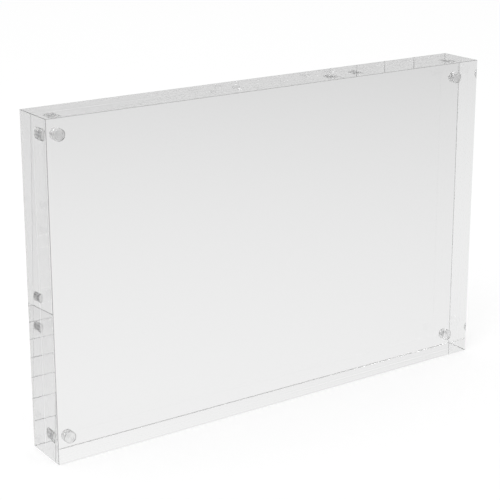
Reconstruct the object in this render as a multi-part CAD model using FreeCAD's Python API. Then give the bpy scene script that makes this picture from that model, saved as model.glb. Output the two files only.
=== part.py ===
import FreeCAD, Part
import os

# Clear acrylic block frame that stands by itself. Two thick polished slabs of the same size stand
# face to face, and four pairs of small round magnets, one pair near each corner, hold them together.
# The photo goes between the slabs, and the front slab pulls straight off to let it in.
#
# Millimetres. X runs along the long side, with +X on the right as seen from the front. The front
# face looks towards -Y, and Z is up. The origin is under the middle of the block, at the height of
# the surface that it stands on. Y is 0 half way through the photo slot.

# Block
block_width = 215.9
block_height = 139.7
slab_thickness = 10.8
photo_gap = 0.1
edge_bevel = 0.2

# Magnets
magnet_diameter = 4.8
magnet_length = 3.0
magnet_bevel = 0.15
magnet_inset = 8.0

# Blind bores that hold the magnets
bore_clearance = 0.05
bore_mouth_bevel = 0.1
cut_overrun = 1.0

magnet_radius = magnet_diameter / 2
bore_radius = magnet_radius + bore_clearance
mating_face = photo_gap / 2
bore_depth = magnet_length - mating_face

# Each half by name, with the way that its outer face looks along Y
halves = {"front": -1, "rear": 1}

# Each corner by name as seen from the front, with its side along X and along Z
corners = {
    "top_left": (-1, 1),
    "top_right": (1, 1),
    "bottom_left": (-1, -1),
    "bottom_right": (1, -1),
}


def corner_axis(side_x, side_z):
    """A magnet's axis, as its point on the middle plane of the photo slot."""
    x = side_x * (block_width / 2 - magnet_inset)
    z = block_height / 2 + side_z * (block_height / 2 - magnet_inset)
    return FreeCAD.Vector(x, 0, z)


def slab(outward):
    """One slab: a box with a blind bore in its mating face for each of its magnets. The arrises
    are broken by a fine bevel, all but those of the mating face, which stay sharp so that the
    joint is a hairline."""
    low_y = min(outward * mating_face, outward * (mating_face + slab_thickness))
    low_corner = FreeCAD.Vector(-block_width / 2, low_y, 0)
    block = Part.makeBox(block_width, slab_thickness, block_height, low_corner)
    arrises = [edge for edge in block.Edges if not lies_on_mating_face(edge)]
    block = block.makeChamfer(edge_bevel, arrises)
    bores = [bore(corner_axis(*sides), outward) for sides in corners.values()]
    return block.cut(Part.makeCompound(bores))


def lies_on_mating_face(edge):
    """True if both ends of a straight edge of a slab are on its side towards the middle plane."""
    return all(abs(vertex.Y) < slab_thickness / 2 for vertex in edge.Vertexes)


def bore(axis_point, outward):
    """What is taken out for one magnet: a flat-bottomed round hole with a bevelled mouth. Its
    bottom is where the magnet ends."""
    direction = FreeCAD.Vector(0, outward, 0)
    mouth = axis_point + direction * mating_face
    start = mouth - direction * cut_overrun
    hole = Part.makeCylinder(bore_radius, cut_overrun + bore_depth, start, direction)
    wide = bore_radius + bore_mouth_bevel
    lead_in = Part.makeCone(wide, bore_radius, bore_mouth_bevel, mouth, direction)
    return hole.fuse(lead_in)


def magnet(axis_point, outward):
    """One plated disc magnet. Its inner end lies on the middle plane, where it meets its mate, so
    it stands out of its slab by half the photo slot and rests on the bottom of its bore."""
    direction = FreeCAD.Vector(0, outward, 0)
    disc = Part.makeCylinder(magnet_radius, magnet_length, axis_point, direction)
    rims = [edge for edge in disc.Edges if edge.isClosed() and len(edge.Vertexes) == 1]
    return disc.makeChamfer(magnet_bevel, rims)


def write(node, shape):
    shape.exportStep("parts/" + node + ".step")
    box = shape.BoundBox
    print(node, shape.isValid(), round(shape.Volume, 3), box)


os.makedirs("parts", exist_ok=True)
for half, outward in halves.items():
    write(half + "_slab", slab(outward))
    for corner, sides in corners.items():
        write(half + "_magnet_" + corner, magnet(corner_axis(*sides), outward))
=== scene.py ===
import math

import bmesh
import bpy
import numpy as np
from mathutils import Euler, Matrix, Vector


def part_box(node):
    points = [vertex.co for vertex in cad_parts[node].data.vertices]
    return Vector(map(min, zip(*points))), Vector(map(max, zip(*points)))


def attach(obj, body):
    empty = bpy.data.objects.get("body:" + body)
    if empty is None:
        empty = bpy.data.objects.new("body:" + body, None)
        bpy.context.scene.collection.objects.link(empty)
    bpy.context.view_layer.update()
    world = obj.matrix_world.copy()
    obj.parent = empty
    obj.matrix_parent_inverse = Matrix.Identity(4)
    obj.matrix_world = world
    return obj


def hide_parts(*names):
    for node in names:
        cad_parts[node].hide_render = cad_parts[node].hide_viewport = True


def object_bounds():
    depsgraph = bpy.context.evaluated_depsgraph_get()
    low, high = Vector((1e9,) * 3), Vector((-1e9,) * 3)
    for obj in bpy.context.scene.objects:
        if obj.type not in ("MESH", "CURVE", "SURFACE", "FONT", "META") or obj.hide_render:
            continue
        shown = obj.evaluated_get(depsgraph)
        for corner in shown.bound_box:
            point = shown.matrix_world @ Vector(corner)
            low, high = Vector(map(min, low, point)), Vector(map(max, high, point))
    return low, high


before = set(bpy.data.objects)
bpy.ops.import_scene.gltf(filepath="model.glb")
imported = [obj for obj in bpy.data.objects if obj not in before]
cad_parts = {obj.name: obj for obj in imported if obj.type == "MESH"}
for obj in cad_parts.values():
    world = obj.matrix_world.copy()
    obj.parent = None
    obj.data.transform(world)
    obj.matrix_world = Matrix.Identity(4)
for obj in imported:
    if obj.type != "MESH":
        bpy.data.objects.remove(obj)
cad_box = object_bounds()

# Slabs
# Each half of the block is one thick plate of cast acrylic, diamond polished, with a fine bevel
# ground along its outer arrises. The ground bevels are tinted darker on the front plate than on
# the rear, painted shade for the dark lines that the edges show, and the front plate's foot is
# nearly clear, painted light from the bright table. Four blind bores, frosted on their walls and
# milled flat at their bottoms, open on the mating face.
mm = 0.001
half_outward = {"front": -1, "rear": 1}

slab_low, slab_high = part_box("rear_slab")
magnet_low, magnet_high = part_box("rear_magnet_top_right")

edge_bevel = 0.2 * mm
bore_clearance = 0.05 * mm
bore_mouth_bevel = 0.1 * mm
bore_radius = (magnet_high.x - magnet_low.x) / 2 + bore_clearance
bore_depth = magnet_high.y - slab_low.y
bore_cell = 5.0 * mm
bore_sides = 96
mill_ring_pitch = 0.8 * mm
mill_ring_depth = 0.1 * mm
mill_rings_per_pitch = 12
merge_reach = 0.0005 * mm
sharp_over_deg = 20

refractive_index = 1.49
dimming_per_metre = 0.45
dimming_tone = 0.5
# The ground bevels' tint and clear share differ per plate. The front plate's darker, less clear bevels
# are painted shade, not a different grind.
ground_shade_tint = {"front": 0.4, "rear": 0.85}
ground_shade_clear_share = {"front": 0.5, "rear": 0.85}


def clear_acrylic(name, roughness, tint, clear_share):
    """Cast acrylic as a solid that bends and reflects light and dims it evenly along its way. What
    clear_share leaves of one is a matt surface of the tint, which scatters the light."""
    material = bpy.data.materials.new(name)
    material.use_nodes = True
    nodes, links = material.node_tree.nodes, material.node_tree.links
    shader = nodes["Principled BSDF"]
    shader.inputs["Base Color"].default_value = (tint, tint, tint, 1.0)
    shader.inputs["Roughness"].default_value = roughness
    shader.inputs["IOR"].default_value = refractive_index
    shader.inputs["Transmission Weight"].default_value = clear_share
    dimming = nodes.new("ShaderNodeVolumeAbsorption")
    dimming.inputs["Color"].default_value = (dimming_tone, dimming_tone, dimming_tone, 1.0)
    dimming.inputs["Density"].default_value = dimming_per_metre / (1 - dimming_tone)
    links.new(dimming.outputs[0], nodes["Material Output"].inputs["Volume"])
    return material


polished_acrylic = clear_acrylic("polished_acrylic", roughness=0.0, tint=1.0, clear_share=1.0)
milled_acrylic = clear_acrylic("milled_acrylic", roughness=0.05, tint=1.0, clear_share=1.0)
ground_and_shaded_acrylic = {half: clear_acrylic(half + "_ground_acrylic", roughness=0.45,
                                      tint=ground_shade_tint[half], clear_share=ground_shade_clear_share[half])
                  for half in half_outward}
# The front plate's foot bevel is nearly clear and near white: painted light from the bright table
# below it.
foot_acrylic = clear_acrylic("foot_acrylic", roughness=0.3, tint=0.95, clear_share=0.95)
drilled_acrylic = clear_acrylic("drilled_acrylic", roughness=0.4, tint=1.0, clear_share=0.75)


def grid_faces(rows, columns, first, around):
    """Four-cornered faces over a grid of points stored row by row. With around, the last column
    joins the first."""
    row = np.arange(rows - 1)[:, None]
    column = np.arange(columns if around else columns - 1)[None, :]
    beside = (column + 1) % columns
    a = row * columns + column
    b = row * columns + beside
    quads = np.stack([a, b, b + columns, a + columns], axis=-1)
    return (quads.reshape(-1, 4) + first).tolist()


def slab_rim(depth, inset, out, stations_x, stations_z):
    """One closed line round the plate at a depth from its mating face: along the bottom, up the
    right, back along the top and down the left, through the stations of each side. The stations
    stop a bevel short of the plate's sides, and inset draws the line in from those sides, so that
    an inset of one bevel runs through the stations themselves."""
    low_x, high_x = stations_x[0] - edge_bevel + inset, stations_x[-1] + edge_bevel - inset
    low_z, high_z = stations_z[0] - edge_bevel + inset, stations_z[-1] + edge_bevel - inset
    x = np.concatenate([stations_x, np.full(len(stations_z), high_x),
                        stations_x[::-1], np.full(len(stations_z), low_x)])
    z = np.concatenate([np.full(len(stations_x), low_z), stations_z,
                        np.full(len(stations_x), high_z), stations_z[::-1]])
    y = np.full(len(x), out * (slab_low.y + depth))
    return np.stack([x, y, z], axis=-1)


def bore_profile():
    """Radius and depth of a bore from its mouth to its middle: the bevelled mouth, the straight
    wall, and the flat bottom with the fine rings that the mill leaves, a cosine of the radius."""
    rings = int(bore_radius / mill_ring_pitch * mill_rings_per_pitch)
    radius = np.linspace(bore_radius, bore_radius / rings, rings)
    ripple = mill_ring_depth * (1 - np.cos(2 * math.pi * radius / mill_ring_pitch)) / 2
    mouth = [(bore_radius + bore_mouth_bevel, 0.0), (bore_radius, bore_mouth_bevel)]
    return np.concatenate([mouth, np.stack([radius, bore_depth + ripple], axis=-1)])


def slab(half):
    """The plate of one half. The outside is a line round the plate carried through its thickness,
    with its corners cut by the bevel, and drawn in by the bevel at the outer end. Both large faces
    are grids on the same stations, and the mating face leaves out the four cells that hold the
    bores, which are closed by fans from each cell's corners to the bore's mouth."""
    out = half_outward[half]
    thickness = slab_high.y - slab_low.y
    half_width, height = slab_high.x, slab_high.z
    axis_x = (magnet_low.x + magnet_high.x) / 2
    inset_z = height - (magnet_low.z + magnet_high.z) / 2
    near_x = np.array([axis_x - bore_cell, axis_x + bore_cell])
    near_z = np.array([inset_z - bore_cell, inset_z + bore_cell])
    stations_x = np.concatenate([[edge_bevel - half_width], -near_x[::-1], near_x,
                                 [half_width - edge_bevel]])
    stations_z = np.concatenate([[edge_bevel], near_z, height - near_z[::-1],
                                 [height - edge_bevel]])

    rims = [slab_rim(0.0, edge_bevel, out, stations_x, stations_z),
            slab_rim(0.0, 0.0, out, stations_x, stations_z),
            slab_rim(thickness - edge_bevel, 0.0, out, stations_x, stations_z),
            slab_rim(thickness, edge_bevel, out, stations_x, stations_z)]
    points = [np.concatenate(rims)]
    faces = grid_faces(len(rims), len(rims[0]), 0, True)
    count = len(points[0])

    cells = len(stations_x) - 1
    for depth in (0.0, thickness):
        x, z = np.meshgrid(stations_x, stations_z)
        y = np.full(x.size, out * (slab_low.y + depth))
        points.append(np.stack([x.ravel(), y, z.ravel()], axis=-1))
        quads = grid_faces(len(stations_z), len(stations_x), count, False)
        if depth == 0.0:
            bored = {row * cells + column for row in (1, cells - 2) for column in (1, cells - 2)}
            quads = [quad for number, quad in enumerate(quads) if number not in bored]
        faces += quads
        count += x.size
    polished_faces = len(faces)

    profile = bore_profile()
    turn = np.arange(bore_sides) * 2 * math.pi / bore_sides
    quarter = bore_sides // 4
    fans = []
    bores = []
    for centre_x in (-axis_x, axis_x):
        for centre_z in (inset_z, height - inset_z):
            x = centre_x + profile[:, :1] * np.cos(turn)
            z = centre_z + profile[:, :1] * np.sin(turn)
            y = np.broadcast_to(out * (slab_low.y + profile[:, 1:]), x.shape)
            points.append(np.stack([x.ravel(), y.ravel(), z.ravel()], axis=-1))
            corners = [(centre_x + side_x * bore_cell, out * slab_low.y, centre_z + side_z * bore_cell)
                       for side_x, side_z in ((1, 1), (-1, 1), (-1, -1), (1, -1))]
            middle = (centre_x, out * (slab_low.y + profile[-1, 1]), centre_z)
            points.append(np.array(corners + [middle]))
            first_corner = count + x.size
            centre = first_corner + len(corners)
            for number in range(len(corners)):
                start = number * quarter
                corner = first_corner + number
                after = first_corner + (number + 1) % len(corners)
                mouth = [count + (start + step) % bore_sides for step in range(quarter + 1)]
                fans += [(corner, a, b) for a, b in zip(mouth, mouth[1:])]
                fans.append((corner, mouth[-1], after))
            bores += grid_faces(len(profile), bore_sides, count, True)
            last = count + x.size - bore_sides
            bores += [(last + step, last + (step + 1) % bore_sides, centre)
                      for step in range(bore_sides)]
            count = centre + 1

    mesh = bpy.data.meshes.new(half + "_plate")
    mesh.from_pydata(np.concatenate(points).tolist(), [], faces + fans + bores)
    for material in (polished_acrylic, milled_acrylic, ground_and_shaded_acrylic[half], drilled_acrylic):
        mesh.materials.append(material)
    polished, milled, ground, drilled = range(len(mesh.materials))
    finish = np.full(len(mesh.polygons), polished, dtype=np.int32)
    first_bore = polished_faces + len(fans)
    finish[first_bore:] = milled
    bore_faces = len(profile) * bore_sides
    for wall in range(first_bore + bore_sides, len(finish), bore_faces):
        finish[wall:wall + bore_sides] = drilled
    # The band at the outer end is ground, and so are the strips at the four corners. The first
    # side of the band runs along the foot.
    around = len(rims[0])
    side_ends = np.cumsum([len(stations_x), len(stations_z)] * 2) - 1
    finish[around + side_ends] = ground
    finish[2 * around:3 * around] = ground
    # On the front plate, the first side of the band runs along the foot and takes the nearly clear
    # foot finish: painted light from the table.
    if half == "front":
        foot = len(mesh.materials)
        mesh.materials.append(foot_acrylic)
        finish[2 * around:2 * around + len(stations_x) - 1] = foot
    mesh.polygons.foreach_set("material_index", finish)
    shape = bmesh.new()
    shape.from_mesh(mesh)
    bmesh.ops.remove_doubles(shape, verts=shape.verts, dist=merge_reach)
    bmesh.ops.recalc_face_normals(shape, faces=shape.faces)
    shape.to_mesh(mesh)
    open_edges = sum(not edge.is_manifold for edge in shape.edges)
    print(half, "plate", len(mesh.polygons), "faces", open_edges, "open edges",
          round(shape.calc_volume() / mm ** 3, 2), "mm3")
    shape.free()
    mesh.polygons.foreach_set("use_smooth", np.ones(len(mesh.polygons), dtype=bool))
    mesh.set_sharp_from_angle(angle=math.radians(sharp_over_deg))
    plate = bpy.data.objects.new(half + "_plate", mesh)
    bpy.context.scene.collection.objects.link(plate)
    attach(plate, half + "_half")
    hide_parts(half + "_slab")


for half in half_outward:
    slab(half)

# Magnets
# Eight small discs of sintered magnet, nickel plated, with softly rounded rims. Each is pushed to
# the bottom of its bore and stands a hair proud, so that it meets its mate in the other half.
corner_names = ("top_left", "top_right", "bottom_left", "bottom_right")
magnet_radius = (magnet_high.x - magnet_low.x) / 2
magnet_length = magnet_high.y - magnet_low.y
magnet_rim = 0.2 * mm
seat_gap = 0.02 * mm
rim_steps = 8
magnet_sides = 96
plating_tone = 0.93
plating_roughness = 0.1

nickel_plating = bpy.data.materials.new("nickel_plating")
nickel_plating.use_nodes = True
plating = nickel_plating.node_tree.nodes["Principled BSDF"]
plating.inputs["Base Color"].default_value = (plating_tone, plating_tone, plating_tone, 1.0)
plating.inputs["Metallic"].default_value = 1.0
plating.inputs["Roughness"].default_value = plating_roughness


def magnet(half, corner):
    """One disc: a profile turned about the bore's axis. The profile runs from the middle of the
    inner face out to the rim, round a quarter circle, along the wall, round a quarter circle and
    back to the middle of the outer face."""
    low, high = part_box(half + "_magnet_" + corner)
    out = half_outward[half]
    bend = np.linspace(0, math.pi / 2, rim_steps)
    straight = magnet_radius - magnet_rim
    inner_end = min(abs(low.y), abs(high.y))
    outer_end = inner_end + magnet_length - seat_gap
    radius = np.concatenate([[magnet_rim], straight + magnet_rim * np.sin(bend),
                             straight + magnet_rim * np.cos(bend), [magnet_rim]])
    along = np.concatenate([[inner_end], inner_end + magnet_rim * (1 - np.cos(bend)),
                            outer_end - magnet_rim * (1 - np.sin(bend)), [outer_end]])
    turn = np.arange(magnet_sides) * 2 * math.pi / magnet_sides
    x = (low.x + high.x) / 2 + radius[:, None] * np.cos(turn)
    z = (low.z + high.z) / 2 + radius[:, None] * np.sin(turn)
    y = np.broadcast_to(out * along[:, None], x.shape)
    points = np.stack([x.ravel(), y.ravel(), z.ravel()], axis=-1)
    faces = grid_faces(len(radius), magnet_sides, 0, True)
    faces.append(list(range(magnet_sides)))
    faces.append(list(range(len(points) - magnet_sides, len(points))))
    mesh = bpy.data.meshes.new(half + "_disc_" + corner)
    mesh.from_pydata(points.tolist(), [], faces)
    mesh.materials.append(nickel_plating)
    shape = bmesh.new()
    shape.from_mesh(mesh)
    bmesh.ops.recalc_face_normals(shape, faces=shape.faces)
    shape.to_mesh(mesh)
    shape.free()
    mesh.polygons.foreach_set("use_smooth", np.ones(len(mesh.polygons), dtype=bool))
    disc = bpy.data.objects.new(half + "_disc_" + corner, mesh)
    bpy.context.scene.collection.objects.link(disc)
    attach(disc, half + "_half")
    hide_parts(half + "_magnet_" + corner)


for half in half_outward:
    for corner in corner_names:
        magnet(half, corner)

# Floor
# A plain white tabletop that runs on into a pale grey studio. It looks white to the camera, with
# the block's faint shadow. Through the acrylic and in reflections it glows instead of being lit,
# with a painted pool of light that is brightest near the block's left end and greyer with the
# distance from there.
floor_radius = 6.0
floor_sides = 64
floor_gap = 0.1 * mm
near_tone, far_tone = 0.87, 0.62
near_edge, far_edge = 0.22, 1.31
painted_light_centre = (-0.15, -0.15, 0.0)
plain_share, lit_share = 0.72, 0.28

floor_mesh = bpy.data.meshes.new("floor")
turn = np.arange(floor_sides) * 2 * math.pi / floor_sides
rim = np.stack([floor_radius * np.cos(turn), floor_radius * np.sin(turn), np.zeros(floor_sides)],
               axis=-1)
floor_mesh.from_pydata(rim.tolist(), [], [list(range(len(rim)))])
floor = bpy.data.objects.new("floor", floor_mesh)
floor.location.z = -floor_gap
bpy.context.scene.collection.objects.link(floor)

tabletop = bpy.data.materials.new("tabletop")
tabletop.use_nodes = True
nodes, links = tabletop.node_tree.nodes, tabletop.node_tree.links
nodes.clear()
place = nodes.new("ShaderNodeTexCoord")
distance = nodes.new("ShaderNodeVectorMath")
distance.operation = "DISTANCE"
links.new(place.outputs["Object"], distance.inputs[0])
distance.inputs[1].default_value = painted_light_centre
tone = nodes.new("ShaderNodeMapRange")
tone.inputs["From Min"].default_value = near_edge
tone.inputs["From Max"].default_value = far_edge
tone.inputs["To Min"].default_value = near_tone
tone.inputs["To Max"].default_value = far_tone
links.new(distance.outputs["Value"], tone.inputs["Value"])
# The floor's glow in reflections and through the acrylic: a painted pool of light, fading with
# distance.
seen = nodes.new("ShaderNodeEmission")
links.new(tone.outputs["Result"], seen.inputs["Strength"])
plain = nodes.new("ShaderNodeEmission")
plain.inputs["Strength"].default_value = plain_share
faintly_lit = nodes.new("ShaderNodeBsdfDiffuse")
faintly_lit.inputs["Color"].default_value = (lit_share, lit_share, lit_share, 1.0)
direct = nodes.new("ShaderNodeAddShader")
links.new(plain.outputs[0], direct.inputs[0])
links.new(faintly_lit.outputs[0], direct.inputs[1])
lit = nodes.new("ShaderNodeBsdfDiffuse")
lit.inputs["Color"].default_value = (near_tone, near_tone, near_tone, 1.0)
ray = nodes.new("ShaderNodeLightPath")
mirrored_or_through = nodes.new("ShaderNodeMath")
mirrored_or_through.operation = "MAXIMUM"
links.new(ray.outputs["Is Glossy Ray"], mirrored_or_through.inputs[0])
links.new(ray.outputs["Is Transmission Ray"], mirrored_or_through.inputs[1])
unless_seen = nodes.new("ShaderNodeMixShader")
links.new(mirrored_or_through.outputs[0], unless_seen.inputs[0])
links.new(lit.outputs[0], unless_seen.inputs[1])
links.new(seen.outputs[0], unless_seen.inputs[2])
surface = nodes.new("ShaderNodeMixShader")
links.new(ray.outputs["Is Camera Ray"], surface.inputs[0])
links.new(unless_seen.outputs[0], surface.inputs[1])
links.new(direct.outputs[0], surface.inputs[2])
output = nodes.new("ShaderNodeOutputMaterial")
links.new(surface.outputs[0], output.inputs["Surface"])
floor_mesh.materials.append(tabletop)

# Studio
# Even light from a surround that is pale grey low down and nearly white overhead, and from a large
# soft lamp high on the left. To the camera the surround is white.
high_tone = 0.93
low_rise_deg, high_rise_deg = 12.0, 27.0
lamp_size = 0.9
lamp_watts = 9.0
lamp_place = Vector((-0.9, -0.5, 1.3))
light_turns = 64

world = bpy.data.worlds.new("studio")
bpy.context.scene.world = world
world.use_nodes = True
nodes, links = world.node_tree.nodes, world.node_tree.links
nodes.clear()
direction = nodes.new("ShaderNodeTexCoord")
upward = nodes.new("ShaderNodeSeparateXYZ")
links.new(direction.outputs["Generated"], upward.inputs[0])
tone = nodes.new("ShaderNodeMapRange")
tone.inputs["From Min"].default_value = math.sin(math.radians(low_rise_deg))
tone.inputs["From Max"].default_value = math.sin(math.radians(high_rise_deg))
tone.inputs["To Min"].default_value = far_tone
tone.inputs["To Max"].default_value = high_tone
links.new(upward.outputs["Z"], tone.inputs["Value"])
ray = nodes.new("ShaderNodeLightPath")
strength = nodes.new("ShaderNodeMix")
strength.data_type = "FLOAT"
links.new(ray.outputs["Is Camera Ray"], strength.inputs["Factor"])
links.new(tone.outputs["Result"], strength.inputs["A"])
strength.inputs["B"].default_value = 1.0
surround = nodes.new("ShaderNodeBackground")
surround.inputs["Color"].default_value = (1.0, 1.0, 1.0, 1.0)
links.new(strength.outputs[0], surround.inputs["Strength"])
output = nodes.new("ShaderNodeOutputWorld")
links.new(surround.outputs[0], output.inputs["Surface"])

lamp_data = bpy.data.lights.new("soft_lamp", "AREA")
lamp_data.shape = "SQUARE"
lamp_data.size = lamp_size
lamp_data.energy = lamp_watts
lamp = bpy.data.objects.new("soft_lamp", lamp_data)
bpy.context.scene.collection.objects.link(lamp)
block_middle = (cad_box[0] + cad_box[1]) / 2
lamp.location = lamp_place
lamp.rotation_euler = (block_middle - lamp_place).to_track_quat("-Z", "Y").to_euler()

# Light that crosses the long plates is thrown from side to side many times before it leaves.
scene = bpy.context.scene
scene.cycles.max_bounces = light_turns
scene.cycles.glossy_bounces = light_turns
scene.cycles.transmission_bounces = light_turns
scene.view_settings.view_transform = "Standard"

# Camera
# Left of the block and above it, with the long side running away to the right. The place is told
# from the block's lower left corner at the front.
photo_px = 500
focal_px = 1442.9
turn_right_deg = 34.55
tilt_down_deg = 15.81
axis_up_share = 0.10
place_from_corner_mm = (-232.4, -470.5, 255.9)
sensor_width_mm = 36.0
nearest_seen, farthest_seen = 0.01, 100.0

camera_data = bpy.data.cameras.new("camera")
camera_data.sensor_width = sensor_width_mm
camera_data.lens = focal_px / photo_px * sensor_width_mm
camera_data.shift_y = -axis_up_share
camera_data.clip_start = nearest_seen
camera_data.clip_end = farthest_seen
camera = bpy.data.objects.new("camera", camera_data)
bpy.context.scene.collection.objects.link(camera)
camera.location = cad_box[0] + Vector(place_from_corner_mm) * mm
camera.rotation_euler = Euler((math.radians(90 - tilt_down_deg), 0, -math.radians(turn_right_deg)))
scene.camera = camera
